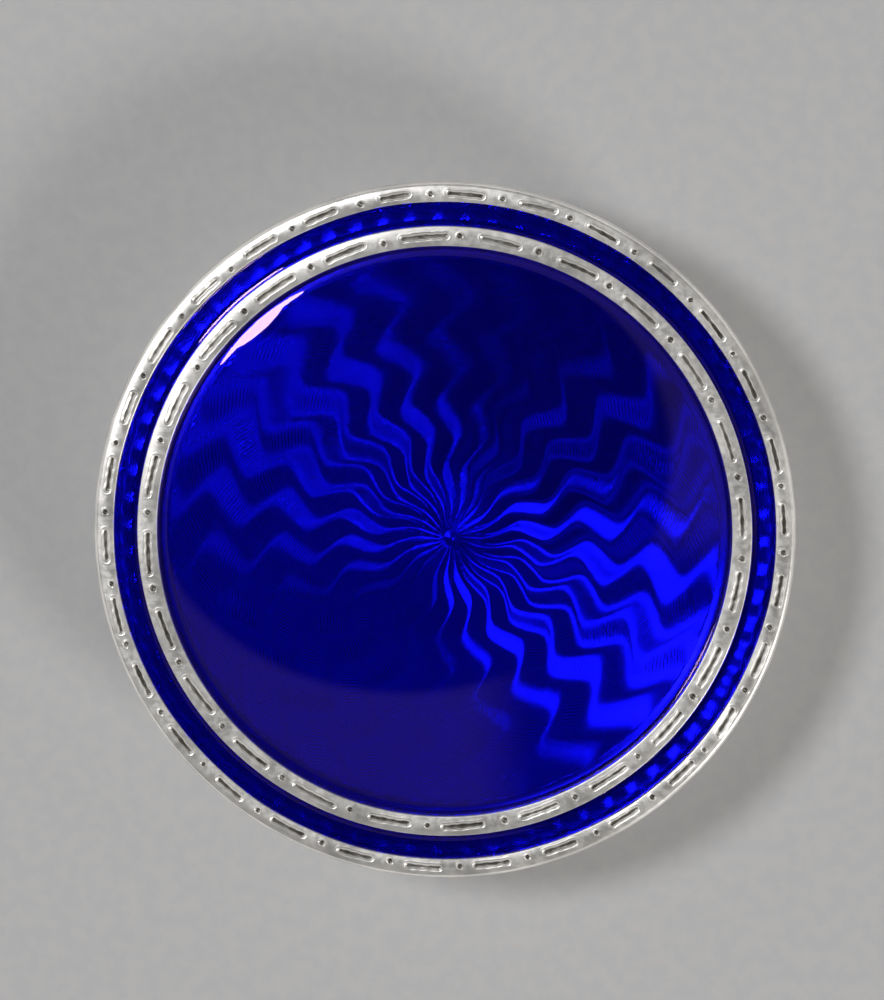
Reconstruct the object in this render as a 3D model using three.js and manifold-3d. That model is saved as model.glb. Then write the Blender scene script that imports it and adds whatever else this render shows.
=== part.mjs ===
// A round silver pill box with a hinged, enamelled lid.
// Units are millimetres and +Z is up. The origin is at the middle of the base, on the table, and
// the hinge is at +Y. The lid has a blue enamelled disc and border, each over a silver plate, held
// between two engraved silver rings. The drum has a foot wire and a bezel that the lid closes over.
import * as THREE from "three";
import { mergeVertices } from "three/addons/utils/BufferGeometryUtils.js";
import Module from "manifold-3d";

const manifold = await Module();
manifold.setup();

// Overall sizes
const lidDiameter = 45; // across the outer rim
const drumHeight = 8; // from the table to the parting line
const skirtHeight = 2.4; // from the parting line to the underside of the rim
const rimOverhang = 1.9; // how far the rim stands out from the drum, as a grip for a fingertip

// Fits
const solderGap = 0.03; // between two soldered pieces
const runningGap = 0.05; // between two pieces that move past each other
const bezelClearance = 0.15; // between the bezel and the skirt that closes over it

// Drum
const wallThickness = 0.6; // of the drum and of the lid's skirt
const baseThickness = 0.7;
const baseRecess = 0.2; // how far the base plate is set up from the table
const footWireWidth = 0.75;
const footWireHeight = 1.3;
const footWireEdge = 0.3; // size of its two bevelled edges
const bezelThickness = 0.5;
const bezelDepth = 2.6; // below the parting line
const bezelRise = 1.6; // above the parting line
const bezelLeadIn = 0.2; // bevel at its top edge

// Lid
const plateThickness = 0.5;
const domeRise = 1.5; // of the plate's dome, from the inner ring to the middle
const domeSteps = 4;
const enamelThickness = 0.5;
const borderWidth = 1.57; // of the enamelled border
const outerRimWidth = 1.23;
const outerRimProud = 0.2; // how far the outer rim stands above the border's enamel
const outerRimLip = 0.45; // thickness of the ledge that carries the plate
const outerRimEdge = 0.35; // bevel round its outside
const innerRingWidth = 1.26;
const innerRingHeight = 0.7;
const crownBevel = 0.16; // bevel beside the flat crown of each ring
const crownDrop = 0.1; // how far the crown's bevels fall

// Engraving: on each ring, long gouged bars with a drilled dot between each two
const gougeWidth = 0.42;
const gougeDepth = 0.1;
const dotWidth = 0.38;
const outerBars = { count: 30, length: 2.3 };
const innerBars = { count: 24, length: 2.8 };

// Hinge
const knuckleRadius = 0.65;
const knuckleNames = [
  "base_hinge_knuckle_left",
  "lid_hinge_knuckle_left",
  "base_hinge_knuckle_centre",
  "lid_hinge_knuckle_right",
  "base_hinge_knuckle_right",
]; // from left to right: the drum has the first and the last, and they alternate
const hingeLength = 8;
const pinRadius = 0.28;
const bearerDrop = 2; // how far each bearer reaches along the wall from the parting line
const bearerNose = 0.95; // how far it reaches at its outer face
const bearerSetback = 0.08; // from the hinge's axis to the outer face

// Smoothness
const ringSegments = 72;
const smallSegments = 24;
const gougeSegments = 8;
const dotSegments = 6;

// Places that follow from the sizes
const lidRadius = lidDiameter / 2;
const wallRadius = lidRadius - rimOverhang;
const wallInner = wallRadius - wallThickness;
const skirtFoot = drumHeight + runningGap;
const rimFoot = drumHeight + skirtHeight;
const plateFoot = rimFoot + outerRimLip + solderGap;
const plateTop = plateFoot + plateThickness;
const rimInner = lidRadius - outerRimWidth;
const rimTop = plateTop + solderGap + enamelThickness + outerRimProud;
const ringOuter = rimInner - borderWidth;
const ringInner = ringOuter - innerRingWidth;
const ringFoot = plateTop + solderGap;
const ringTop = ringFoot + innerRingHeight;
const knucklePitch = hingeLength / knuckleNames.length;
const hingeY = wallRadius + knuckleRadius + runningGap;
const hingeZ = drumHeight + runningGap / 2;

// Materials
const silver = new THREE.MeshStandardMaterial({ color: 0xd4d5d8, metalness: 1, roughness: 0.35 });
const gilt = new THREE.MeshStandardMaterial({ color: 0xdcb868, metalness: 1, roughness: 0.3 });
const enamel = new THREE.MeshStandardMaterial({ color: 0x0a12a8, metalness: 0.2, roughness: 0.08 });

// Shapes

// A turned piece: a profile of [radius, height] points, anticlockwise, carried round the Z axis.
// A profile that starts and ends on the axis is left open there, and any other is closed.
function turned(profile, segments = ringSegments) {
  const points = profile.map(([radius, height]) => new THREE.Vector2(radius, height));
  if (profile[0][0] > 0) points.push(points[0].clone());
  return new THREE.LatheGeometry(points, segments).rotateX(Math.PI / 2);
}

// A plain ring of rectangular section.
function plainRing(inner, outer, foot, top) {
  return turned([
    [inner, foot],
    [outer, foot],
    [outer, top],
    [inner, top],
  ]);
}

// The crown of an engraved ring, from its outer side to its inner side: flat, with a bevel each way.
function crown(inner, outer, top) {
  return [
    [outer, top - crownDrop],
    [outer - crownBevel, top],
    [inner + crownBevel, top],
    [inner, top - crownDrop],
  ];
}

// A cylinder along X, centred on the origin.
function rod(radius, length) {
  return new THREE.CylinderGeometry(radius, radius, length, smallSegments).rotateZ(Math.PI / 2);
}

// Height of a sphere's cap above its own edge, where the cap is `rise` high and `edge` in radius.
function capHeight(radius, edge, rise) {
  const sphere = (edge * edge + rise * rise) / (2 * rise);
  return Math.sqrt(sphere * sphere - radius * radius) - (sphere - rise);
}

// Points of the dome from its middle out to `edge`, on the cap that springs from the inner ring.
function domePoints(edge, foot) {
  const points = [];
  for (let step = 0; step <= domeSteps; step++) {
    const radius = (edge * step) / domeSteps;
    points.push([radius, foot + capHeight(radius, ringInner, domeRise)]);
  }
  return points;
}

// Solids, for the pieces that are cut

function solidOf(geometry) {
  const bare = geometry.clone();
  bare.deleteAttribute("normal");
  bare.deleteAttribute("uv");
  const merged = mergeVertices(bare, 1e-4);
  const mesh = new manifold.Mesh({
    numProp: 3,
    vertProperties: merged.attributes.position.array,
    triVerts: new Uint32Array(merged.index.array),
  });
  return new manifold.Manifold(mesh);
}

function geometryOf(solid) {
  const { vertProperties, triVerts } = solid.getMesh();
  const geometry = new THREE.BufferGeometry();
  geometry.setAttribute("position", new THREE.BufferAttribute(vertProperties, 3));
  geometry.setIndex(new THREE.BufferAttribute(triVerts, 1));
  geometry.computeVertexNormals();
  return geometry;
}

// The first geometry less all the others.
function cut(geometry, ...cutters) {
  let solid = solidOf(geometry);
  for (const cutter of cutters) solid = solid.subtract(solidOf(cutter));
  return geometryOf(solid);
}

// Gouges a ring: `bars.count` bars round it with a dot midway between each two. A round tool of the
// radius that gives the gouge its width and depth is laid along the ring for a bar and touched to
// it for a dot.
function engraved(geometry, inner, outer, top, bars) {
  const radius = (inner + outer) / 2;
  const pitch = (2 * Math.PI) / bars.count;
  const toolRadius = (width) => (width * width) / (8 * gougeDepth) + gougeDepth / 2;
  const barTool = toolRadius(gougeWidth);
  const dotTool = toolRadius(dotWidth);
  const straight = bars.length - gougeWidth;
  const cutters = [];
  for (let bar = 0; bar < bars.count; bar++) {
    cutters.push(
      new THREE.CapsuleGeometry(barTool, straight, 2, gougeSegments)
        .rotateY(Math.PI / gougeSegments)
        .translate(radius, 0, top - gougeDepth + barTool)
        .rotateZ(bar * pitch),
      new THREE.SphereGeometry(dotTool, dotSegments, dotSegments)
        .rotateX(Math.PI / 2)
        .translate(radius, 0, top - gougeDepth + dotTool)
        .rotateZ((bar + 0.5) * pitch),
    );
  }
  return cut(geometry, ...cutters);
}

// Drum

function basePlate() {
  const radius = wallInner - solderGap;
  return turned([
    [0, baseRecess],
    [radius, baseRecess],
    [radius, baseRecess + baseThickness],
    [0, baseRecess + baseThickness],
  ]);
}

function footWire() {
  const inner = wallRadius + solderGap;
  const outer = wallRadius + footWireWidth;
  return turned([
    [inner, 0],
    [outer - footWireEdge, 0],
    [outer, footWireEdge],
    [outer, footWireHeight - footWireEdge * 2],
    [outer - footWireEdge, footWireHeight - footWireEdge / 2],
    [inner, footWireHeight],
  ]);
}

function bezel() {
  const soldered = wallInner - solderGap;
  const free = wallInner - bezelClearance;
  const inner = soldered - bezelThickness;
  const top = drumHeight + bezelRise;
  return turned([
    [inner, drumHeight - bezelDepth],
    [soldered, drumHeight - bezelDepth],
    [soldered, drumHeight - solderGap],
    [free, drumHeight],
    [free, top - bezelLeadIn],
    [free - bezelLeadIn, top],
    [inner, top],
  ]);
}

// Lid

function lidPlate() {
  const radius = rimInner - solderGap;
  const under = domePoints(ringInner, plateFoot);
  const over = domePoints(ringInner, plateTop).reverse();
  return turned([...under, [radius, plateFoot], [radius, plateTop], ...over]);
}

function centreEnamel() {
  const edge = ringInner - solderGap;
  const foot = plateTop + solderGap;
  const under = domePoints(edge, foot);
  const over = domePoints(edge, foot + enamelThickness).reverse();
  return turned([...under, ...over]);
}

function borderEnamel() {
  const foot = plateTop + solderGap;
  return plainRing(ringOuter + solderGap, rimInner - solderGap, foot, foot + enamelThickness);
}

function outerRim() {
  const lipInner = wallRadius + solderGap;
  const section = turned([
    [lipInner, rimFoot],
    [lidRadius - outerRimEdge, rimFoot],
    [lidRadius, rimFoot + outerRimEdge],
    [lidRadius, rimTop - outerRimEdge],
    ...crown(rimInner, lidRadius - outerRimEdge / 2, rimTop),
    [rimInner, rimFoot + outerRimLip],
    [lipInner, rimFoot + outerRimLip],
  ]);
  return engraved(section, rimInner, lidRadius - outerRimEdge / 2, rimTop, outerBars);
}

function innerRing() {
  const section = turned([
    [ringInner, ringFoot],
    [ringOuter, ringFoot],
    ...crown(ringInner, ringOuter, ringTop),
  ]);
  return engraved(section, ringInner, ringOuter, ringTop, innerBars);
}

// Hinge

// A bearer: a wedge along the wall with a round seat for the knuckles. `up` is 1 for the lid's
// bearer, above the parting line, and -1 for the drum's, below it.
function bearer(up) {
  const inner = -(knuckleRadius + runningGap + wallThickness);
  const section = new THREE.Shape([
    new THREE.Vector2(inner, up * runningGap),
    new THREE.Vector2(-bearerSetback, up * runningGap),
    new THREE.Vector2(-bearerSetback, up * bearerNose),
    new THREE.Vector2(inner, up * bearerDrop),
  ]);
  const wedge = new THREE.ExtrudeGeometry(section, { depth: hingeLength, bevelEnabled: false })
    .translate(0, 0, -hingeLength / 2)
    .applyMatrix4(new THREE.Matrix4().makeBasis(
      new THREE.Vector3(0, 1, 0),
      new THREE.Vector3(0, 0, 1),
      new THREE.Vector3(1, 0, 0),
    ))
    .translate(0, hingeY, hingeZ);
  const seat = rod(knuckleRadius + solderGap, hingeLength * 2).translate(0, hingeY, hingeZ);
  const drum = turned([
    [0, -drumHeight],
    [wallRadius + solderGap, -drumHeight],
    [wallRadius + solderGap, 3 * drumHeight],
    [0, 3 * drumHeight],
  ]);
  return cut(wedge, seat, drum);
}

function knuckle() {
  const length = knucklePitch - runningGap;
  const bore = rod(pinRadius + runningGap, length * 2);
  return cut(rod(knuckleRadius, length), bore);
}

// Assembly

function add(parent, name, geometry, material) {
  const mesh = new THREE.Mesh(geometry, material);
  mesh.name = name;
  parent.add(mesh);
  return mesh;
}

const base = new THREE.Group();
add(base, "base_plate", basePlate(), gilt);
add(base, "base_wall", plainRing(wallInner, wallRadius, 0, drumHeight), silver);
add(base, "base_foot_wire", footWire(), silver);
add(base, "base_bezel", bezel(), gilt);
add(base, "base_hinge_bearer", bearer(-1), silver);

const lid = new THREE.Group();
add(lid, "lid_skirt", plainRing(wallInner, wallRadius, skirtFoot, plateFoot - solderGap), silver);
add(lid, "lid_plate", lidPlate(), silver);
add(lid, "lid_outer_rim", outerRim(), silver);
add(lid, "lid_inner_ring", innerRing(), silver);
add(lid, "centre_enamel", centreEnamel(), enamel);
add(lid, "border_enamel", borderEnamel(), enamel);
add(lid, "lid_hinge_bearer", bearer(1), silver);

knuckleNames.forEach((name, place) => {
  const body = place % 2 === 0 ? base : lid;
  const x = (place + 0.5) * knucklePitch - hingeLength / 2;
  add(body, name, knuckle(), silver).position.set(x, hingeY, hingeZ);
});
add(base, "hinge_pin", rod(pinRadius, hingeLength), silver).position.set(0, hingeY, hingeZ);

const pillBox = new THREE.Group();
pillBox.add(base, lid);

export default pillBox;
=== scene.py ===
import math

import bpy
import numpy as np
from mathutils import Matrix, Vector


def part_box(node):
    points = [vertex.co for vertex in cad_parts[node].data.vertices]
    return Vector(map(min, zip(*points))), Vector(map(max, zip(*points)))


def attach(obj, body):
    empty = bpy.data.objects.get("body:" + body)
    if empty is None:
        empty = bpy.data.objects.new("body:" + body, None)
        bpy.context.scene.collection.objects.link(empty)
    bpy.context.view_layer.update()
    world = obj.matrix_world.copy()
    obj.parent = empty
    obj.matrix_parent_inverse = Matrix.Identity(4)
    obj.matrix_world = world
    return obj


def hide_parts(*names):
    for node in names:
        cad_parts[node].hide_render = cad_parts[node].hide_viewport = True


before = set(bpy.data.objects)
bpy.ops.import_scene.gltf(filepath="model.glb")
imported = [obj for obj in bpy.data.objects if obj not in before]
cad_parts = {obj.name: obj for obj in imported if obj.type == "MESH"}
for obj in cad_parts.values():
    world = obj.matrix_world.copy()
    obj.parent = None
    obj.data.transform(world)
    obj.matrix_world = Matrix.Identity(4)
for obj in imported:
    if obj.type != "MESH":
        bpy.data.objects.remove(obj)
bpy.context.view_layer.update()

# ---------------------------------------------------------------------------------------------
# The view. The box lies shut on a table and is seen from above, almost square on to its lid,
# from a little way round towards the hinge, so that the rim's outer edge just shows there.
# ---------------------------------------------------------------------------------------------
mm = 0.001
rim_low, rim_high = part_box("lid_outer_rim")
picture_height = 63.9 * mm  # of what the picture takes in at the lid
eye_distance = 260 * mm
eye_tilt = math.radians(8)
eye_bearing = math.radians(70)
aim = np.array([-0.1 * mm, 2.2 * mm, rim_high.z])

towards_eye = np.array([
    math.sin(eye_tilt) * math.cos(eye_bearing),
    math.sin(eye_tilt) * math.sin(eye_bearing),
    math.cos(eye_tilt),
])
picture_up = np.array([0.0, 1.0, 0.0]) - towards_eye[1] * towards_eye
picture_up /= np.linalg.norm(picture_up)
picture_right = np.cross(picture_up, towards_eye)
eye = aim + eye_distance * towards_eye

camera_data = bpy.data.cameras.new("camera")
camera_data.sensor_fit = "VERTICAL"
camera_data.sensor_height = 24
camera_data.lens = camera_data.sensor_height * eye_distance / picture_height
camera_data.clip_start = 1 * mm
camera = bpy.data.objects.new("camera", camera_data)
camera.matrix_world = Matrix([
    [*row, place] for row, place in zip(np.transpose([picture_right, picture_up, towards_eye]), eye)
] + [[0, 0, 0, 1]])
bpy.context.scene.collection.objects.link(camera)
bpy.context.scene.camera = camera
bpy.context.scene.view_settings.view_transform = "Standard"


# ---------------------------------------------------------------------------------------------
# The light. A soft pale room, dim overhead but for a paler ceiling round the dim middle. A lamp low
# on the right, with a weaker one beside it, and a window and a pale wall on the left light the
# flanks of the engine turning, and the window whitens the silver.
# ---------------------------------------------------------------------------------------------
def wired(tree, kind, inputs=(), **settings):
    """Adds a node with these settings. `inputs` pairs a socket's name or number with a value, or
    with the output of another node, which is then linked to it."""
    made = tree.nodes.new(kind)
    for name, value in settings.items():
        setattr(made, name, value)
    for socket, value in dict(inputs).items():
        if isinstance(value, bpy.types.NodeSocket):
            tree.links.new(value, made.inputs[socket])
        else:
            made.inputs[socket].default_value = value
    return made


def maths(tree, operation, *values):
    """The result of one sum on numbers or sockets."""
    return wired(tree, "ShaderNodeMath", enumerate(values), operation=operation).outputs[0]


def ramped(tree, value, start, end, low, high):
    """`value` from start to end, carried smoothly to low to high, and level beyond."""
    inputs = {"Value": value, "From Min": start, "From Max": end, "To Min": low, "To Max": high}
    return wired(tree, "ShaderNodeMapRange", inputs, interpolation_type="SMOOTHSTEP").outputs[0]


room_dim = 0.07  # above the walls
room_bright = 0.9  # at the foot of the walls and below
walls_dim_above, walls_bright_below = 0.5, 0.3  # heights in the sky, where 1 is straight overhead
overhead_share = 0.15  # of the dim room's light that is left overhead
overhead_start, overhead_full = 0.8, 0.9
ceiling_glow = 0.26
ceiling_start, ceiling_full = 0.82, 0.88
middle_across, middle_along = -0.1, -0.03  # where the middle of the dim ellipse is
reach_across, reach_along = 0.36, 0.32
ellipse_soft = 0.06
right_start, right_full = -0.02, 0.08  # the glow is left out at near right
near_start, near_full = -0.1, -0.2
room_seen = (0.74, 0.74, 0.75, 1)

world = bpy.data.worlds.new("room")
bpy.context.scene.world = world
world.use_nodes = True
sky = world.node_tree
sky.nodes.clear()
direction = wired(sky, "ShaderNodeTexCoord").outputs["Generated"]
split = wired(sky, "ShaderNodeSeparateXYZ", {0: direction})
across, along, upward = split.outputs[0], split.outputs[1], split.outputs[2]
walls = ramped(sky, upward, walls_dim_above, walls_bright_below, room_dim, room_bright)
overhead = ramped(sky, upward, overhead_full, overhead_start, overhead_share, 1.0)
squares = [
    maths(sky, "POWER", maths(sky, "DIVIDE", maths(sky, "SUBTRACT", place, middle), reach), 2.0)
    for place, middle, reach in [
        (across, middle_across, reach_across),
        (along, middle_along, reach_along),
    ]
]
off_middle = maths(sky, "ADD", *squares)
ceiling = ramped(sky, off_middle, 1 - ellipse_soft, 1 + ellipse_soft, 0.0, ceiling_glow)
ceiling = maths(sky, "MULTIPLY", ceiling, ramped(sky, upward, ceiling_start, ceiling_full, 0.0, 1.0))
not_right = ramped(sky, across, right_start, right_full, 1.0, 0.0)
not_near = ramped(sky, along, near_full, near_start, 0.0, 1.0)
ceiling = maths(sky, "MULTIPLY", ceiling, maths(sky, "MAXIMUM", not_right, not_near))
lit = maths(sky, "ADD", maths(sky, "MULTIPLY", overhead, walls), ceiling)
seen_by_eye = wired(sky, "ShaderNodeLightPath").outputs["Is Camera Ray"]
room_glow = wired(sky, "ShaderNodeBackground", {"Color": (1.0, 0.985, 0.965, 1), "Strength": lit})
room_plain = wired(sky, "ShaderNodeBackground", {"Color": room_seen, "Strength": 1})
room_mix = wired(sky, "ShaderNodeMixShader", {
    0: seen_by_eye,
    1: room_glow.outputs[0],
    2: room_plain.outputs[0],
})
wired(sky, "ShaderNodeOutputWorld", {"Surface": room_mix.outputs[0]})


def soft_lamp(name, bearing, slant, width, radiance, colour):
    """A round lamp that faces the lid from `bearing` degrees round and `slant` degrees from
    overhead. Its power is its radiance times pi times its area."""
    reach = 500 * mm
    lamp_data = bpy.data.lights.new(name, "AREA")
    lamp_data.shape = "DISK"
    lamp_data.size = width
    lamp_data.energy = radiance * math.pi * math.pi * width * width / 4
    lamp_data.color = colour
    lamp = bpy.data.objects.new(name, lamp_data)
    round_lid = Matrix.Rotation(math.radians(bearing), 4, "Z")
    down = Matrix.Rotation(math.radians(slant), 4, "Y")
    lid_top = Matrix.Translation((0, 0, rim_high.z))
    lamp.matrix_world = lid_top @ round_lid @ down @ Matrix.Translation((0, 0, reach))
    bpy.context.scene.collection.objects.link(lamp)


soft_lamp("lamp_low_right", -38, 49, 140 * mm, 14.5, (1.0, 0.98, 0.95))
soft_lamp("lamp_far_right", 12, 49, 95 * mm, 2.2, (1.0, 0.98, 0.95))
soft_lamp("window", 148, 26, 100 * mm, 35.0, (0.97, 0.98, 1.0))
soft_lamp("pale_wall", 160, 52, 220 * mm, 0.8, (0.96, 0.98, 1.0))

# ---------------------------------------------------------------------------------------------
# The table: a plain pale sheet, wide enough to run out of sight in every view.
# ---------------------------------------------------------------------------------------------
table_reach = 1.5
table_mesh = bpy.data.meshes.new("table")
table_corners = [(-1, -1, 0), (1, -1, 0), (1, 1, 0), (-1, 1, 0)]
table_mesh.from_pydata(np.multiply(table_corners, table_reach).tolist(), [], [(0, 1, 2, 3)])
table = bpy.data.objects.new("table", table_mesh)
bpy.context.scene.collection.objects.link(table)


def noise(tree, place, scale, detail):
    """Soft noise, with this many lumps to the metre."""
    return wired(tree, "ShaderNodeTexNoise", {"Vector": place, "Scale": scale, "Detail": detail}).outputs[0]


paper = bpy.data.materials.new("pale_paper")
paper.use_nodes = True
paper_tree = paper.node_tree
paper_place = wired(paper_tree, "ShaderNodeTexCoord").outputs["Object"]
paper_tone = wired(paper_tree, "ShaderNodeMix", {
    0: ramped(paper_tree, noise(paper_tree, paper_place, 900, 4), 0.35, 0.65, 0, 1),
    6: (0.57, 0.57, 0.58, 1),
    7: (0.60, 0.595, 0.59, 1),
}, data_type="RGBA")
paper_shader = paper_tree.nodes["Principled BSDF"]
paper_tree.links.new(paper_tone.outputs[2], paper_shader.inputs["Base Color"])
paper_shader.inputs["Roughness"].default_value = 0.9
table_mesh.materials.append(paper)


# ---------------------------------------------------------------------------------------------
# The outer rim: one silver wire, drawn to a crowned section and bent round, that carries the
# plate on a ledge. A graver has cut long bars with sloping sides round it by hand, and a round
# punch has struck a dot between each two. It is soldered to the skirt below.
# ---------------------------------------------------------------------------------------------
def closed_piece(name, points, materials, crease, finish=None, cut=None):
    """A closed body from a grid of points, smooth but for folds over `crease` degrees. Rows follow
    each other round and join up. Along a row the points follow the section: it joins up too, or
    each end of it is one point, the same in all rows. `finish` numbers the material of each
    stretch of the section, and `cut` says how deep each point is cut, which the silver reads. The
    faces are turned to face outwards, which makes the sum of the cones from the origin positive."""
    rows, columns = points.shape[:2]
    poles = np.allclose(points[:, [0, -1]], points[:1, [0, -1]])
    index = np.arange(rows * columns).reshape(rows, columns)
    corners = points.reshape(-1, 3)
    if poles:
        index[:, 0] = index[0, 0]
        index[:, -1] = index[0, -1]
    following = np.roll(index, -1, axis=0)
    if poles:
        a, b = index[:, :-1], index[:, 1:]
        c, d = following[:, 1:], following[:, :-1]
    else:
        a, b = index, np.roll(index, -1, axis=1)
        c, d = np.roll(following, -1, axis=1), following
    quads = np.stack([a, b, c, d], axis=-1).reshape(-1, 4)
    p, q, r, s = (corners[quads[:, k]] for k in range(4))
    cones = np.einsum("ij,ij->i", p, np.cross(q, r)) + np.einsum("ij,ij->i", p, np.cross(r, s))
    if cones.sum() < 0:
        quads = quads[:, ::-1]
    used, numbered = np.unique(quads, return_inverse=True)
    quads = numbered.reshape(quads.shape)
    faces = [list(dict.fromkeys(face)) for face in quads.tolist()] if poles else quads.tolist()
    mesh = bpy.data.meshes.new(name)
    mesh.from_pydata(corners[used], [], faces)
    for material in materials:
        mesh.materials.append(material)
    if finish is not None:
        mesh.polygons.foreach_set("material_index", np.tile(finish, rows).astype(np.int32))
    if cut is not None:
        depths = mesh.attributes.new("cut", "FLOAT", "POINT")
        depths.data.foreach_set("value", cut.reshape(-1)[used].astype(np.float32))
    mesh.shade_smooth()
    mesh.set_sharp_from_angle(angle=math.radians(crease))
    piece = bpy.data.objects.new(name, mesh)
    bpy.context.scene.collection.objects.link(piece)
    return piece


def angles_round(count):
    """`count` equal steps round the axis, as a column."""
    return (np.arange(count) * (2 * np.pi / count))[:, None]


def carried_round(angle, radius, height):
    """Points at these radii and heights, carried round the axis by these angles."""
    angle, radius, height = np.broadcast_arrays(angle, radius, height)
    return np.stack([radius * np.cos(angle), radius * np.sin(angle), height], axis=-1)


def arc(centre, size, start, end, steps):
    """Points on a quarter or other stretch of a circle in the section's plane, in degrees."""
    turn = np.radians(np.linspace(start, end, steps))
    return np.stack([centre[0] + size * np.cos(turn), centre[1] + size * np.sin(turn)], axis=-1)


bar_width = 0.52 * mm
bar_wall = 0.22 * mm  # width of each sloping side
bar_depth = 0.13 * mm
bowl_share = 1.3  # how deep a dot is, in bars' depths
lip_rise = 0.012 * mm  # of the metal thrown up beside a cut
lip_width = 0.035 * mm
lip_out = 0.03 * mm
ragged_edge = 0.014 * mm


def wrapped(turn):
    """A turn brought to within half a turn of none."""
    return (turn + np.pi) % (2 * np.pi) - np.pi


def gouges(angle, radius, middle, bars, seed):
    """Depth of the engraving at each point, in shares of a bar's depth, and height of the lips.
    A bar is a round-ended gouge whose sides slope smoothly from its edge in to its floor. Its
    edge wavers with two sines along it. A dot is a round bowl midway between two bars. A lip is a
    bell curve of the distance from an edge. No two bars or dots are cut quite alike."""
    rng = np.random.default_rng(seed)
    count = bars["count"]
    pitch = 2 * np.pi / count
    bar = np.floor((angle - bars["start"]) / pitch + 0.5).astype(int) % count
    dot = np.floor((angle - bars["start"]) / pitch).astype(int) % count
    wander = rng.normal(0, 0.018, count) * pitch
    skew = rng.normal(0, 0.025, count)
    longer = rng.normal(1, 0.05, count)
    deeper = rng.uniform(0.8, 1.1, count)
    aside = rng.normal(0, 0.018 * mm, count)
    dot_wander = rng.normal(0, 0.03, count) * pitch
    dot_size = rng.uniform(0.85, 1.15, count)
    dot_aside = rng.normal(0, 0.04 * mm, count)

    along = wrapped(angle - bars["start"] - bar * pitch - wander[bar]) * middle
    off_line = radius - middle - aside[bar] - skew[bar] * along
    half = (bars["length"] * longer[bar] - bar_width) / 2
    beyond = np.maximum(np.abs(along) - half, 0)
    short_waver = np.sin(along / (0.11 * mm) + 2.0 * bar)
    long_waver = np.sin(along / (0.27 * mm) + 5.0 * bar ** 2)
    inside_edge = bar_width / 2 - np.hypot(beyond, off_line) - ragged_edge * (short_waver + long_waver)
    slope = np.clip(inside_edge / bar_wall, 0, 1)
    gouge = slope * slope * (3 - 2 * slope) * deeper[bar]
    lip = np.exp(-((inside_edge + lip_out) / lip_width) ** 2)

    along_dot = wrapped(angle - bars["start"] - (dot + 0.5) * pitch - dot_wander[dot]) * middle
    bowl_radius = bars["dot"] / 2 * dot_size[dot]
    off_dot = np.hypot(along_dot, radius - middle - dot_aside[dot]) / bowl_radius
    bowl = np.clip(1 - off_dot ** 2, 0, 1) ** 0.7 * bowl_share
    lip = lip + np.exp(-((off_dot - 1.15) * bowl_radius / lip_width) ** 2)
    return np.maximum(gouge, bowl), lip


def engraved_ring(name, node, section, middle, bars, seed, inset=0):
    """A silver ring: its section carried round, drawn in by `inset`, with its crown cut down by
    the gouges and raised by their lips."""
    crown_zone = 0.2 * mm
    angle = angles_round(bars["steps"])
    radius = np.broadcast_to(section[:, 0], (bars["steps"], len(section)))
    height = np.broadcast_to(section[:, 1], radius.shape)
    cut, lip = gouges(angle, radius, middle, bars, seed)
    on_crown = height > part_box(node)[1].z - crown_zone
    points = carried_round(angle, radius - inset, height - on_crown * (bar_depth * cut - lip_rise * lip))
    # The cut depth also paints the bars and dots dark in the silver: partly tarnish, partly painted shade.
    return closed_piece(name, points, [engraved_silver], crease=40, cut=np.clip(cut, 0, 1) * on_crown)


outer_bars = {
    "count": 30,
    "start": math.radians(2.4),
    "length": 2.45 * mm,
    "dot": 0.38 * mm,
    "steps": 2160,
}
fit_gap = 0.02 * mm  # between pieces that are let into each other
rim_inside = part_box("border_enamel")[1].x + fit_gap
rim_outside = rim_high.x
rim_top = rim_high.z
rim_foot = rim_low.z
ledge_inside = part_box("lid_skirt")[1].x + fit_gap
ledge_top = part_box("lid_plate")[0].z - fit_gap / 2
edge_round = 0.34 * mm
inner_round = 0.07 * mm
crown_rise = 0.035 * mm

crown_radii = np.linspace(rim_inside + inner_round, rim_outside - edge_round, 24)
crown_middle = (crown_radii[0] + crown_radii[-1]) / 2
crown_half = (crown_radii[-1] - crown_radii[0]) / 2
crown_heights = rim_top - crown_rise * ((crown_radii - crown_middle) / crown_half) ** 2
rim_section = np.concatenate([
    [[rim_inside, ledge_top + fit_gap], [rim_inside, rim_top - 0.3 * mm]],
    arc((rim_inside + inner_round, crown_heights[0] - inner_round), inner_round, 180, 100, 4),
    np.stack([crown_radii, crown_heights], axis=-1),
    arc((rim_outside - edge_round, crown_heights[-1] - edge_round), edge_round, 82, 0, 7),
    arc((rim_outside - edge_round, rim_foot + edge_round), edge_round, 0, -90, 6),
    [[ledge_inside, rim_foot], [ledge_inside, ledge_top]],
])
rim_angle = angles_round(outer_bars["steps"])
rim_wobble = 0.03 * mm * (np.sin(5 * rim_angle + 1) + 0.6 * np.sin(11 * rim_angle + 2.2))
wobble_end = crown_radii[4]
near_inside = np.clip((wobble_end - rim_section[:, 0]) / (wobble_end - rim_inside), 0, 1)
above_ledge = rim_section[:, 1] > ledge_top + 0.1 * mm


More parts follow.
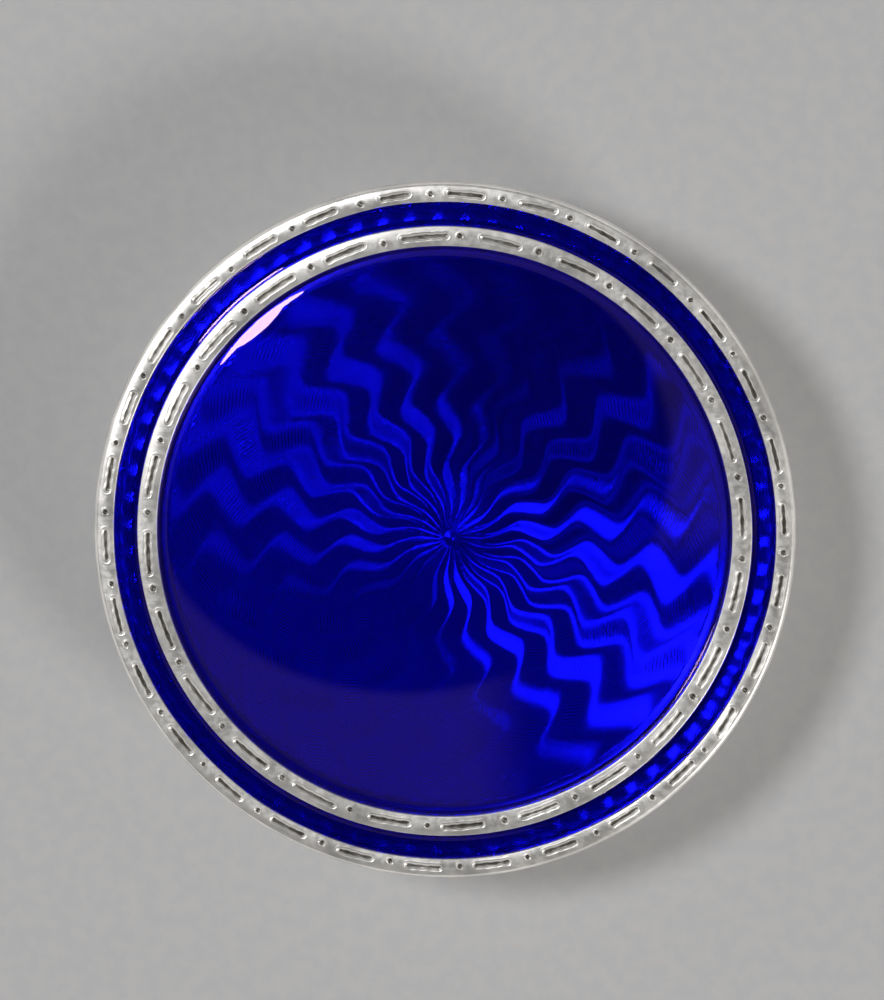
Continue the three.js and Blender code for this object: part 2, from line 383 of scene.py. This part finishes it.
def silver_look(name, tone, roughness, marks, dulled=0.88, bright=1.0):
    """Worn silver: its tone drifts in patches down to a share `dulled` of itself, its roughness
    varies with finer ones, and hair scratches run over it, both as much as `marks` says. Where
    the attribute `cut` says that it is deeply cut, it is painted dark: partly tarnish, partly
    painted shade. Below 1, `bright` leaves part of it matt."""
    material = bpy.data.materials.new(name)
    material.use_nodes = True
    tree = material.node_tree
    shader = tree.nodes["Principled BSDF"]
    place = wired(tree, "ShaderNodeTexCoord").outputs["Object"]
    patches = noise(tree, place, 260, 5)
    fine = noise(tree, place, 2600, 6)
    # Patches that vary how strongly the cuts are painted dark, partly as tarnish, partly as painted shade.
    tarnish_shade_noise = noise(tree, place, 1500, 4)
    deep = wired(tree, "ShaderNodeAttribute", attribute_name="cut").outputs["Fac"]
    dull = [dulled * channel for channel in tone]
    body = wired(tree, "ShaderNodeMix", {
        0: ramped(tree, patches, 0.35, 0.7, 0, 1),
        6: (*tone, 1),
        7: (*dull, 1),
    }, data_type="RGBA").outputs[2]
    # Painted dark in the deep cuts, near black-brown: partly tarnish in the hollows, partly painted shade.
    tarnish_and_shade = ramped(tree, deep, 0.5, 0.95, 0, 1)
    shaded = wired(tree, "ShaderNodeMix", {
        0: maths(tree, "MULTIPLY", tarnish_and_shade, ramped(tree, tarnish_shade_noise, 0.3, 0.6, 0.7, 0.96)),
        6: body,
        7: (0.07, 0.062, 0.05, 1),
    }, data_type="RGBA").outputs[2]
    tree.links.new(shaded, shader.inputs["Base Color"])
    shader.inputs["Metallic"].default_value = bright
    spread = 0.015 + 0.25 * marks
    rough = ramped(tree, fine, 0.3, 0.7, roughness - spread, roughness + spread)
    tree.links.new(rough, shader.inputs["Roughness"])
    scratch_place = wired(tree, "ShaderNodeMapping", {
        "Vector": place, "Rotation": (0, 0, 0.6), "Scale": (500, 9000, 500),
    }).outputs[0]
    bump = wired(tree, "ShaderNodeBump", {
        "Height": maths(tree, "ADD", noise(tree, scratch_place, 1, 3), fine),
        "Strength": marks,
        "Distance": 0.02 * mm,
    }).outputs[0]
    tree.links.new(bump, shader.inputs["Normal"])
    return material


engraved_silver = silver_look("silver_engraved", (0.98, 0.955, 0.915), 0.37, 0.2, 0.72, bright=0.82)
outer_rim = engraved_ring(
    "outer_rim",
    "lid_outer_rim",
    rim_section,
    crown_middle,
    outer_bars,
    seed=3,
    inset=np.abs(rim_wobble) * near_inside * above_ledge,
)
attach(outer_rim, "lid")
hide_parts("lid_outer_rim")

# ---------------------------------------------------------------------------------------------
# The inner ring: a second crowned silver wire, between the border and the disc, engraved as the
# outer one is with longer bars, and soldered flat on the plate.
# ---------------------------------------------------------------------------------------------
inner_bars = {
    "count": 24,
    "start": math.radians(4.0),
    "length": 2.95 * mm,
    "dot": 0.42 * mm,
    "steps": 2400,
}
ring_low, ring_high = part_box("lid_inner_ring")
ring_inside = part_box("centre_enamel")[1].x + fit_gap
ring_outside = ring_high.x
ring_radii = np.linspace(ring_inside + inner_round, ring_outside - inner_round, 26)
ring_middle = (ring_inside + ring_outside) / 2
ring_half = ring_radii[-1] - ring_middle
ring_heights = ring_high.z - crown_rise * ((ring_radii - ring_middle) / ring_half) ** 2
ring_section = np.concatenate([
    [[ring_inside, ring_low.z]],
    arc((ring_inside + inner_round, ring_heights[0] - inner_round), inner_round, 180, 100, 4),
    np.stack([ring_radii, ring_heights], axis=-1),
    arc((ring_outside - inner_round, ring_heights[-1] - inner_round), inner_round, 80, 0, 4),
    [[ring_outside, ring_low.z]],
])
inner_ring = engraved_ring("inner_ring", "lid_inner_ring", ring_section, ring_middle, inner_bars, seed=8)
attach(inner_ring, "lid")
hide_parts("lid_inner_ring")

# ---------------------------------------------------------------------------------------------
# The lid's plate: silver sheet, raised to a low dome in the middle and cut on a rose engine. On
# the dome, wavy grooves close round the middle and step to and fro, which draws a sunburst of
# zigzag rays. In the flat border, tighter waves draw a row of beads. The dome is gilt underneath.
# ---------------------------------------------------------------------------------------------
solder_gap = 0.03 * mm  # between soldered pieces, and between the enamel and its plate
bed_gap = 0.035 * mm  # from the flat of the plate up to the lowest point of the CAD's enamel
plate_low, plate_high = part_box("lid_plate")
dome_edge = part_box("centre_enamel")[1].x + solder_gap
plate_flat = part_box("centre_enamel")[0].z - bed_gap
dome_rise = plate_high.z - plate_flat
dome_sphere = (dome_edge ** 2 + dome_rise ** 2) / (2 * dome_rise)


def dome(radius):
    """Height of the dome over the flat of the plate: a cap of a sphere, level outside its edge."""
    inside = np.minimum(radius, dome_edge)
    return np.sqrt(dome_sphere ** 2 - inside ** 2) - (dome_sphere - dome_rise)


groove_pitch = 0.15 * mm
groove_depth = 0.05 * mm
groove_floor = plate_flat - groove_depth
steep_flank = math.radians(14.5)
flank_ease = math.radians(5)
inward_flank = math.radians(36)
ray_count = 24
ray_start = math.radians(-5.3)
ray_swing = math.radians(4.1)
zigzag_length = 4.29 * mm
zigzag_crest = 15.07 * mm
zigzag_sharpness = 0.8  # at 1 the zigzag would be of straight lines
wave_height = 0.39 * mm
wave_settle = 0.8 * mm
off_centre = np.array([0.49, -0.1]) * mm  # of the middle of the rays


def rose_grooves(angle, rings, outward_flank, waves, height, shift):
    """Radii of V grooves whose floors are at `rings` plus a wave, and heights over those floors
    of the ridges between. A groove's flanks have set slopes, so a ridge stands as high as the
    gap between its two floors, measured square to the groove, lets them run."""
    floors = rings + height * np.cos(waves * (angle - shift))
    sideways = -height * waves * np.sin(waves * (angle - shift)) / rings
    square = 1 / np.sqrt(1 + sideways ** 2)
    gap = np.diff(floors, axis=1)
    outward = np.tan(outward_flank[:-1])
    share = outward / (outward + math.tan(inward_flank))
    ridges = floors[:, :-1] + gap * share
    rise = gap * (1 - share) * outward * (square[:, 1:] + square[:, :-1]) / 2
    radius = np.empty((len(angle), 2 * len(rings) - 1))
    radius[:, 0::2] = floors
    radius[:, 1::2] = ridges
    over_floor = np.zeros_like(radius)
    over_floor[:, 1::2] = rise
    return radius, over_floor


def trimmed(radius, over_floor, low, high):
    """The same grooves stopped at two turned edges: past an edge, both the distance from it and
    the height over the floor shrink to a fiftieth."""
    left = 0.02
    kept_radius = np.clip(radius, low, high)
    beyond = radius - kept_radius
    return kept_radius + beyond * left, np.where(beyond == 0, over_floor, over_floor * left)


def repeated(values, steps):
    """The same values in each of `steps` rows."""
    return np.broadcast_to(values, (steps, len(values)))


ray_steps = 360
ray_angle = angles_round(ray_steps)
first_ring = 0.55 * mm
last_ring_in = 0.3 * mm  # from the edge of the dome
ray_rings = np.arange(first_ring, dome_edge - last_ring_in, groove_pitch)
swing_phase = 2 * np.pi * (ray_rings - zigzag_crest) / zigzag_length
swing = ray_swing * np.arcsin(zigzag_sharpness * np.cos(swing_phase)) / math.asin(zigzag_sharpness)
ray_radius, ray_over = rose_grooves(
    ray_angle,
    ray_rings,
    steep_flank - flank_ease * (ray_rings / dome_edge) ** 2,
    ray_count,
    wave_height * ray_rings / (ray_rings + wave_settle),
    ray_start - swing,
)
# A turned cove runs round outside the rays, and a plain boss stands in the middle of them.
cove_inside = dome_edge - 0.82 * mm
cove_outside = dome_edge - 0.36 * mm
cove_radius = np.array([cove_inside + 0.03 * mm, cove_outside, cove_outside + 0.02 * mm])
cove_over = np.array([0.07, 0.0, 0.02]) * mm
boss_radius = np.array([0, 0.12, 0.22]) * mm
boss_over = np.array([0, -0.01, -0.05]) * mm
ray_radius, ray_over = trimmed(ray_radius, ray_over, 0, cove_inside)
lap_radii = [dome_edge + 0.7 * mm, dome_edge + 1.8 * mm]  # of its edge, under the inner ring
under_radii = np.linspace(dome_edge, 0, 20)
centre_radius = np.concatenate([
    repeated(boss_radius, ray_steps),
    ray_radius,
    repeated(cove_radius, ray_steps),
    repeated(lap_radii, ray_steps),
    repeated(under_radii, ray_steps),
], axis=1)
centre_height = np.concatenate([
    repeated(plate_flat + dome_rise + boss_over, ray_steps),
    groove_floor + ray_over,
    repeated(groove_floor + cove_over, ray_steps),
    repeated([plate_flat, plate_low.z], ray_steps),
    repeated(plate_low.z + dome(under_radii), ray_steps),
], axis=1)

centre_points = carried_round(ray_angle, centre_radius, centre_height)
boss_count = len(boss_radius)
top_count = boss_count + ray_radius.shape[1] + len(cove_radius)
drift = np.clip(1 - centre_radius[:, :top_count] / dome_edge, 0, 1)
centre_points[:, :top_count, :2] += drift[..., None] * off_centre
reached = np.linalg.norm(centre_points[:, boss_count:top_count, :2], axis=-1)
centre_points[:, boss_count:top_count, 2] += dome(reached)

turned_silver = silver_look("silver_engine_turned", (0.95, 0.94, 0.93), 0.25, 0.02, dulled=0.96)
gilt = silver_look("silver_gilt", (0.95, 0.74, 0.42), 0.33, 0.05, dulled=0.94)
plate_centre = closed_piece(
    "plate_centre",
    centre_points,
    [turned_silver, gilt],
    crease=24,
    finish=np.arange(centre_radius.shape[1] - 1) > top_count,
)
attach(plate_centre, "lid")
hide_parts("lid_plate")

bead_count = 72
bead_steps = 1080
bead_angle = angles_round(bead_steps)
under_ring = 0.3 * mm  # that the grooves run on under the inner ring
bead_rings = np.arange(ring_outside - under_ring, rim_inside - fit_gap, groove_pitch)
bead_inside = ring_outside + 0.4 * mm
bead_outside = rim_inside - 0.12 * mm
bead_height = 0.14 * mm
off_bead = (2 * bead_rings - bead_inside - bead_outside) / (bead_outside - bead_inside)
bead_flank = steep_flank + flank_ease * np.clip(off_bead, -1, 1)
bead_radius, bead_over = rose_grooves(bead_angle, bead_rings, bead_flank, bead_count, bead_height, 0.0)
bead_radius, bead_over = trimmed(bead_radius, bead_over, bead_inside, bead_outside)
border_under = np.array([
    [plate_high.x, groove_floor],
    [plate_high.x, plate_low.z],
    [dome_edge + 1.9 * mm, plate_low.z],
    [dome_edge + 0.8 * mm, groove_floor],
])
border_radius = np.concatenate([bead_radius, repeated(border_under[:, 0], bead_steps)], axis=1)
border_height = np.concatenate([
    groove_floor + bead_over,
    repeated(border_under[:, 1], bead_steps),
], axis=1)
border_points = carried_round(bead_angle, border_radius, border_height)
plate_border = closed_piece("plate_border", border_points, [turned_silver], crease=24)
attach(plate_border, "lid")
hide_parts("lid_plate")

# ---------------------------------------------------------------------------------------------
# The enamel: clear cobalt blue glass, fired on the cut silver and as blue as it is deep. The disc
# is stoned to a smooth dome and drawn down at its edge. The border is flat, but climbs the inner
# ring a little where the glass crept up it.
# ---------------------------------------------------------------------------------------------
enamel_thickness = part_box("border_enamel")[1].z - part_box("border_enamel")[0].z
enamel_sunk = groove_depth + 0.03 * mm  # below the flat of the plate, so past every groove
edge_roll = 0.7 * mm
edge_drop = 0.075 * mm
edge_corner = 0.08 * mm

enamel = bpy.data.materials.new("cobalt_enamel")
enamel.use_nodes = True
enamel_tree = enamel.node_tree
enamel_shader = enamel_tree.nodes["Principled BSDF"]
enamel_place = wired(enamel_tree, "ShaderNodeTexCoord").outputs["Object"]
cloud = noise(enamel_tree, enamel_place, 120, 3)
enamel_tone = wired(enamel_tree, "ShaderNodeMix", {
    0: ramped(enamel_tree, cloud, 0.3, 0.7, 0, 1),
    6: (0.02, 0.02, 0.88, 1),
    7: (0.03, 0.025, 0.95, 1),
}, data_type="RGBA").outputs[2]
enamel_tree.links.new(enamel_tone, enamel_shader.inputs["Base Color"])
enamel_shader.inputs["Transmission Weight"].default_value = 1
enamel_shader.inputs["IOR"].default_value = 1.5
enamel_shader.inputs["Specular Tint"].default_value = (0.85, 0.5, 1.0, 1)
smears = noise(enamel_tree, enamel_place, 60, 6)
enamel_tree.links.new(ramped(enamel_tree, smears, 0.45, 0.75, 0.0, 0.05), enamel_shader.inputs["Roughness"])
absorption = wired(enamel_tree, "ShaderNodeVolumeAbsorption", {
    "Color": (0.0, 0.02, 0.92, 1),
    "Density": 2000,
})
enamel_tree.links.new(absorption.outputs[0], enamel_tree.nodes["Material Output"].inputs["Volume"])


def corner_fall(from_edge):
    """How far the enamel falls at its very edge, which is a quarter circle."""
    into_corner = np.clip(1 - from_edge / edge_corner, 0, 1)
    return edge_corner * (1 - np.sqrt(1 - into_corner ** 2))


def rolled_down(from_edge):
    """How far the disc falls near its edge: as the square of the way into the roll, and then by
    the corner's fall."""
    into_roll = np.clip(1 - from_edge / edge_roll, 0, 1)
    return edge_drop * into_roll ** 2 + corner_fall(from_edge)


disc_radii = np.concatenate([
    np.linspace(0, dome_edge - edge_roll, 30)[:-1],
    np.linspace(dome_edge - edge_roll, dome_edge - edge_corner, 9)[:-1],
    dome_edge - edge_corner + edge_corner * np.sin(np.radians(np.linspace(0, 90, 6))),
])
enamel_top = plate_flat + solder_gap + enamel_thickness
disc_top = enamel_top + dome(disc_radii) - rolled_down(dome_edge - disc_radii)
disc_under_radii = np.linspace(dome_edge, 0, 24)
disc_under = plate_flat + dome(disc_under_radii) - enamel_sunk
disc_points = carried_round(
    angles_round(360),
    np.concatenate([disc_radii, disc_under_radii]),
    np.concatenate([disc_top, disc_under]),
)
centre_enamel = closed_piece("centre_enamel_disc", disc_points, [enamel], crease=60)
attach(centre_enamel, "lid")
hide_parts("centre_enamel")

band_fit = 0.005 * mm
band_low = ring_outside + band_fit
band_high = rim_inside - band_fit
band_turn = np.radians(np.linspace(0, 180, 25))
band_radii = (band_low + band_high) / 2 - (band_high - band_low) / 2 * np.cos(band_turn)
band_lower = 0.02 * mm  # than the disc's edge
band_climb = 0.065 * mm
band_climb_run = 0.5 * mm
from_edge = np.maximum(np.minimum(band_radii - band_low, band_high - band_radii), 0)
climbing = band_climb * np.clip(1 - (band_radii - band_low) / band_climb_run, 0, 1) ** 2
band_top = enamel_top - band_lower + climbing - corner_fall(from_edge)
band_points = carried_round(
    angles_round(720),
    np.concatenate([band_radii, [band_high, band_low]]),
    np.concatenate([band_top, [plate_flat - enamel_sunk] * 2]),
)
border_enamel = closed_piece("border_enamel_band", band_points, [enamel], crease=60)
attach(border_enamel, "lid")
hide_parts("border_enamel")

# ---------------------------------------------------------------------------------------------
# The lid's skirt: a band of silver sheet, reeded on an engine between plain fillets, gilt inside
# and soldered under the rim. It closes over the drum's bezel.
# ---------------------------------------------------------------------------------------------
reed_count = 240
reed_steps = 8
reed_depth = 0.09 * mm
reed_run_out = 0.12 * mm
# How dark the reeds' hollows and the turned lines are painted: partly tarnish, partly painted shade.
reed_tarnish_and_shade = 0.8
line_depth = 0.04 * mm
line_half = 0.04 * mm
line_tarnish_and_shade = 0.85
band_corner = 0.08 * mm
corner_middle = 0.3  # how far in the middle of a corner lies, in shares of its size
wall_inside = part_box("base_bezel")[1].x + solder_gap
plain_silver = silver_look("silver_worn", (0.94, 0.925, 0.90), 0.28, 0.06, dulled=0.9)


def reeded_band(name, node, body, foot_fillet, top_fillet):
    """A band as high and wide as its CAD ring. Up its outside go a plain fillet, a thin turned
    line, the reeds, a line and a fillet. A reed is the hump of a cosine: the radius falls from
    one hump to the next by one less the cosine's size, and the reeds run out on a short slope."""
    low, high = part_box(node)
    foot, top, outside = low.z, high.z, high.x
    foot_line = foot + foot_fillet
    top_line = top - top_fillet
    stops = np.array([  # height, depth of the line, and share of the reeds' depth
        [foot + band_corner, 0, 0],
        [foot_line - line_half, 0, 0],
        [foot_line, line_depth, 0],
        [foot_line + line_half, 0, 0],
        [foot_line + line_half * 2, 0, 0],
        [foot_line + line_half * 2 + reed_run_out, 0, 1],
        [top_line - line_half * 2 - reed_run_out, 0, 1],
        [top_line - line_half * 2, 0, 0],
        [top_line - line_half, 0, 0],
        [top_line, line_depth, 0],
        [top_line + line_half, 0, 0],
        [top - band_corner, 0, 0],
    ])
    angle = angles_round(reed_count * reed_steps)
    hollow = 1 - np.abs(np.cos(angle * reed_count / 2))
    reeded = outside - stops[:, 1] - stops[:, 2] * reed_depth * hollow
    rest = np.array([
        [outside - band_corner * corner_middle, top - band_corner * corner_middle],
        [outside - band_corner, top],
        [wall_inside + band_corner, top],
        [wall_inside, top - band_corner],
        [wall_inside, foot + band_corner],
        [wall_inside + band_corner, foot],
        [outside - band_corner, foot],
        [outside - band_corner * corner_middle, foot + band_corner * corner_middle],
    ])
    radius = np.concatenate([reeded, repeated(rest[:, 0], len(angle))], axis=1)
    height = np.concatenate([stops[:, 0], rest[:, 1]])
    place = np.arange(len(height))
    inside = (place >= len(stops) + 2) & (place <= len(stops) + 5)
    # The hollows of the reeds and the turned lines are painted dark through the cut attribute, partly as
    # tarnish, partly as painted shade.
    cut_tarnish_and_shade = np.maximum(stops[:, 2] * hollow * reed_tarnish_and_shade, (stops[:, 1] > 0) * line_tarnish_and_shade)
    piece = closed_piece(
        name,
        carried_round(angle, radius, height),
        [plain_silver, gilt],
        crease=25,
        finish=inside,
        cut=np.concatenate([cut_tarnish_and_shade, np.zeros((len(angle), len(rest)))], axis=1),
    )
    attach(piece, body)
    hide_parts(node)


reeded_band("skirt", "lid_skirt", "lid", 0.34 * mm, 0.3 * mm)

# ---------------------------------------------------------------------------------------------
# The drum's wall: a deeper band of the same reeded sheet, gilt inside. The foot wire covers the
# lower part of its bottom fillet.
# ---------------------------------------------------------------------------------------------
foot_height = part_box("base_foot_wire")[1].z
reeded_band("drum_wall", "base_wall", "base", foot_height + 0.4 * mm, 0.55 * mm)

# ---------------------------------------------------------------------------------------------
# The foot wire: a half-round silver wire, soldered round the bottom of the drum and rubbed flat
# underneath, where the box stands on it.
# ---------------------------------------------------------------------------------------------
wire_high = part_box("base_foot_wire")[1]
wire_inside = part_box("base_wall")[1].x + solder_gap
wire_middle = 0.46 * wire_high.z
wire_half = wire_high.z - wire_middle
wire_least = 0.02 * mm  # thickness at its edges
wire_turn = np.linspace(-math.asin(wire_middle / wire_half), math.pi / 2, 14)
wire_radius = wire_inside + (wire_high.x - wire_inside) * np.cos(wire_turn)
wire_height = wire_middle + wire_half * np.sin(wire_turn)
wire_points = carried_round(
    angles_round(360),
    np.concatenate([[wire_inside], np.maximum(wire_radius, wire_inside + wire_least), [wire_inside]]),
    np.concatenate([[0], wire_height, [wire_high.z - wire_least]]),
)
foot_wire = closed_piece("foot_wire", wire_points, [plain_silver], crease=40)
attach(foot_wire, "base")
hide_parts("base_foot_wire")

# ---------------------------------------------------------------------------------------------
# The base plate: a disc of sheet silver, turned in a lathe, which has left fine rings on it and
# three lines underneath. It is soldered inside the wall, a little up from the table, and is gilt
# on top.
# ---------------------------------------------------------------------------------------------
plate_foot, plate_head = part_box("base_plate")
plate_corner = 0.1 * mm
plate_line_radii = np.array([0.14, 0.86, 0.91]) * plate_head.x
plate_line_depth = 0.06 * mm
plate_line_half = 0.1 * mm
plate_line_steps = np.array([-0.12, -0.04, 0, 0.04, 0.12]) * mm
plate_dish = 0.05 * mm
face_radii = np.unique(np.concatenate([
    np.linspace(0, plate_head.x - plate_corner, 40),
    *[line + plate_line_steps for line in plate_line_radii],
]))
nearest_line = np.abs(face_radii[:, None] - plate_line_radii).min(axis=1)
face_sunk = plate_line_depth * np.clip(1 - nearest_line / plate_line_half, 0, 1)
face_dish = plate_dish * (1 - (face_radii / plate_head.x) ** 2)
base_points = carried_round(
    angles_round(240),
    np.concatenate([face_radii, [plate_head.x, plate_head.x], face_radii[::-1]]),
    np.concatenate([
        plate_head.z - face_dish * 0.5,
        [plate_head.z - plate_corner, plate_foot.z + plate_corner],
        (plate_foot.z + face_dish + face_sunk)[::-1],
    ]),
)


def lathe_rings(material, pitch, strength):
    """Adds a lathe's fine rings to a silver look: waves in the distance from the axis, uneven in
    depth, on top of its scratches."""
    tree = material.node_tree
    shader = tree.nodes["Principled BSDF"]
    place = wired(tree, "ShaderNodeTexCoord").outputs["Object"]
    flat = wired(tree, "ShaderNodeVectorMath", {0: place, 1: (1, 1, 0)}, operation="MULTIPLY").outputs[0]
    reach = wired(tree, "ShaderNodeVectorMath", {0: flat}, operation="LENGTH").outputs["Value"]
    lumps = {"W": maths(tree, "MULTIPLY", reach, 2600.0), "Detail": 3}
    uneven = wired(tree, "ShaderNodeTexNoise", lumps, noise_dimensions="1D").outputs[0]
    wave = maths(tree, "SINE", maths(tree, "MULTIPLY", reach, 2 * math.pi / pitch))
    rings = wired(tree, "ShaderNodeBump", {
        "Height": maths(tree, "MULTIPLY", wave, uneven),
        "Strength": strength,
        "Distance": 0.01 * mm,
        "Normal": shader.inputs["Normal"].links[0].from_socket,
    }).outputs[0]
    tree.links.new(rings, shader.inputs["Normal"])


lathe_pitch = 0.31 * mm
lathed_silver = silver_look("silver_lathed", (0.90, 0.89, 0.87), 0.32, 0.06, dulled=0.93)
lathe_rings(lathed_silver, lathe_pitch, 0.5)
lathed_gilt = silver_look("silver_gilt_lathed", (0.95, 0.74, 0.42), 0.33, 0.04, dulled=0.94)
lathe_rings(lathed_gilt, lathe_pitch, 0.25)

base_plate = closed_piece(
    "base_disc",
    base_points,
    [lathed_gilt, lathed_silver],
    crease=35,
    finish=np.arange(base_points.shape[1] - 1) >= len(face_radii),
)
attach(base_plate, "base")
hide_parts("base_plate")

# ---------------------------------------------------------------------------------------------
# The bezel: a gilt band soldered inside the drum's wall. It stands up past the wall, stepped in a
# little, for the skirt to close over, and has a rounded lip with a turned line under it.
# ---------------------------------------------------------------------------------------------
bezel_low, bezel_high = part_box("base_bezel")
wall_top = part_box("base_wall")[1].z
bezel_inside = bezel_high.x - 0.5 * mm
bezel_free = bezel_high.x - 0.12 * mm
bezel_lip = 0.2 * mm
bezel_bevel = 0.06 * mm
bezel_step = 0.05 * mm
bezel_line = bezel_high.z - 0.5 * mm
bezel_line_half = 0.06 * mm
bezel_line_depth = 0.04 * mm
bezel_section = np.concatenate([
    [
        [bezel_inside + bezel_bevel, bezel_low.z],
        [bezel_high.x - bezel_bevel, bezel_low.z],
        [bezel_high.x, bezel_low.z + bezel_bevel],
        [bezel_high.x, wall_top - bezel_step],
        [bezel_free, wall_top],
        [bezel_free, bezel_line - bezel_line_half],
        [bezel_free - bezel_line_depth, bezel_line],
        [bezel_free, bezel_line + bezel_line_half],
    ],
    arc((bezel_free - bezel_lip, bezel_high.z - bezel_lip), bezel_lip, 0, 90, 7),
    arc((bezel_inside + bezel_lip / 2, bezel_high.z - bezel_lip / 2), bezel_lip / 2, 90, 180, 5),
    [[bezel_inside, bezel_low.z + bezel_bevel]],
])
bezel_points = carried_round(angles_round(360), bezel_section[:, 0], bezel_section[:, 1])
bezel = closed_piece("bezel", bezel_points, [gilt], crease=40)
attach(bezel, "base")
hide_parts("base_bezel")

# ---------------------------------------------------------------------------------------------
# The hinge's bearers: two wedges of silver, one soldered along the drum's wall and one along the
# skirt, each with a round seat that holds its knuckles.
# ---------------------------------------------------------------------------------------------
knuckle_low, knuckle_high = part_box("base_hinge_knuckle_centre")
hinge_y = (knuckle_low.y + knuckle_high.y) / 2
hinge_z = (knuckle_low.z + knuckle_high.z) / 2
knuckle_radius = (knuckle_high.z - knuckle_low.z) / 2
seat_radius = knuckle_radius + solder_gap
seat_limit = 0.997  # of the seat's radius, where it starts at the latest
seat_land = 0.01 * mm  # least width between the wall and the seat
nose_reach = 0.95 * mm
bearer_corner = 0.07 * mm
bearer_foot = 0.12 * mm
bearer_slope = 0.14 * mm
end_eased = 0.9  # size of the two end faces
end_middle_out = 0.42 * mm
end_middle_up = 1.0 * mm


def bearer(name, node, body, up):
    """A wedge of constant height along X, whose back follows the drum's wall: at each station the
    back lies where the wall's circle does. `up` is 1 above the hinge's axis and -1 below it."""
    low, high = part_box(node)
    near, far = (low.z, high.z) if up > 0 else (high.z, low.z)
    nose = high.y
    nose_top = hinge_z + up * nose_reach
    stations = np.linspace(low.x, high.x, 33)
    back = np.sqrt(wire_inside ** 2 - stations ** 2)
    seat_start = np.maximum(back + seat_land, hinge_y - seat_radius * seat_limit)
    seat_turn = np.arccos((hinge_y - seat_start) / seat_radius)
    seat_end = math.acos((hinge_y - nose) / seat_radius)
    turns = seat_turn + (seat_end - seat_turn) * np.linspace(0, 1, 10)[:, None]
    seat_y = hinge_y - seat_radius * np.cos(turns)
    seat_z = hinge_z + up * seat_radius * np.sin(turns)
    corner = arc((nose - bearer_corner, nose_top - up * bearer_corner), bearer_corner, 0, up * 70, 5)
    outline_y = np.concatenate([
        back[None],
        seat_y,
        np.broadcast_to(corner[:, :1], (len(corner), len(stations))),
        back[None] + bearer_foot,
        back[None],
    ])
    outline_z = np.concatenate([
        np.full_like(back[None], near),
        seat_z,
        np.broadcast_to(corner[:, 1:], (len(corner), len(stations))),
        np.full_like(back[None], far - up * bearer_slope),
        np.full_like(back[None], far),
    ])
    outline = np.stack([outline_y, outline_z], axis=-1)
    middle = np.array([back.min() + end_middle_out, hinge_z + up * end_middle_up])
    first = middle + (outline[:, :1] - middle) * end_eased
    last = middle + (outline[:, -1:] - middle) * end_eased
    pole = np.broadcast_to(middle, first.shape)
    section = np.concatenate([pole, first, outline[:, 1:-1], last, pole], axis=1)
    along = np.concatenate([stations[[0, 0]], stations[1:-1], stations[[-1, -1]]])
    along = np.broadcast_to(along[None, :, None], (*section.shape[:2], 1))
    piece = closed_piece(name, np.concatenate([along, section], axis=-1), [plain_silver], crease=35)
    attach(piece, body)
    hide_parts(node)


bearer("drum_bearer", "base_hinge_bearer", "base", -1)
bearer("lid_bearer", "lid_hinge_bearer", "lid", 1)

# ---------------------------------------------------------------------------------------------
# The knuckles: five short lengths of silver tube with eased ends, three on the drum and two on
# the lid, soldered in turn into the two seats so that they line up.
# ---------------------------------------------------------------------------------------------
knuckle_ease = 0.07 * mm
running_gap = 0.05 * mm
bore_bevel = 0.04 * mm
bore_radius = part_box("hinge_pin")[1].z - hinge_z + running_gap


def carried_about_hinge(angle, radius, along):
    """Points at these radii from the hinge's axis and places along it, carried round it."""
    turned = carried_round(angle, radius, along)
    return np.stack([turned[..., 2], hinge_y + turned[..., 0], hinge_z + turned[..., 1]], axis=-1)


def knuckle(name, node, body):
    """A tube along X as long as its CAD knuckle, with quarter-round ends outside and a bevelled
    mouth to its bore."""
    left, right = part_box(node)[0].x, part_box(node)[1].x
    outer = knuckle_radius - knuckle_ease
    section = np.concatenate([
        arc((right - knuckle_ease, outer), knuckle_ease, 0, 90, 5),
        arc((left + knuckle_ease, outer), knuckle_ease, 90, 180, 5),
        [[left, bore_radius + bore_bevel], [left + bore_bevel, bore_radius]],
        [[right - bore_bevel, bore_radius], [right, bore_radius + bore_bevel]],
    ])
    points = carried_about_hinge(angles_round(64), section[:, 1], section[:, 0])
    piece = closed_piece(name, points, [plain_silver], crease=35)
    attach(piece, body)
    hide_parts(node)


for side in ("left", "centre", "right"):
    knuckle("drum_knuckle_" + side, "base_hinge_knuckle_" + side, "base")
for side in ("left", "right"):
    knuckle("lid_knuckle_" + side, "lid_hinge_knuckle_" + side, "lid")

# ---------------------------------------------------------------------------------------------
# The hinge pin: a silver wire through the five knuckles, with its ends hammered to low domes.
# ---------------------------------------------------------------------------------------------
pin_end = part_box("hinge_pin")[1].x
pin_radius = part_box("hinge_pin")[1].z - hinge_z
pin_dome = 0.15 * mm
dome_turn = np.radians(np.linspace(0, 90, 7))
dome_along = pin_end - pin_dome + pin_dome * np.cos(dome_turn)
dome_radius = pin_radius * np.sin(dome_turn)
pin_points = carried_about_hinge(
    angles_round(40),
    np.concatenate([dome_radius, dome_radius[::-1]]),
    np.concatenate([dome_along, -dome_along[::-1]]),
)
pin = closed_piece("pin", pin_points, [plain_silver], crease=50)
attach(pin, "base")
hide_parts("hinge_pin")
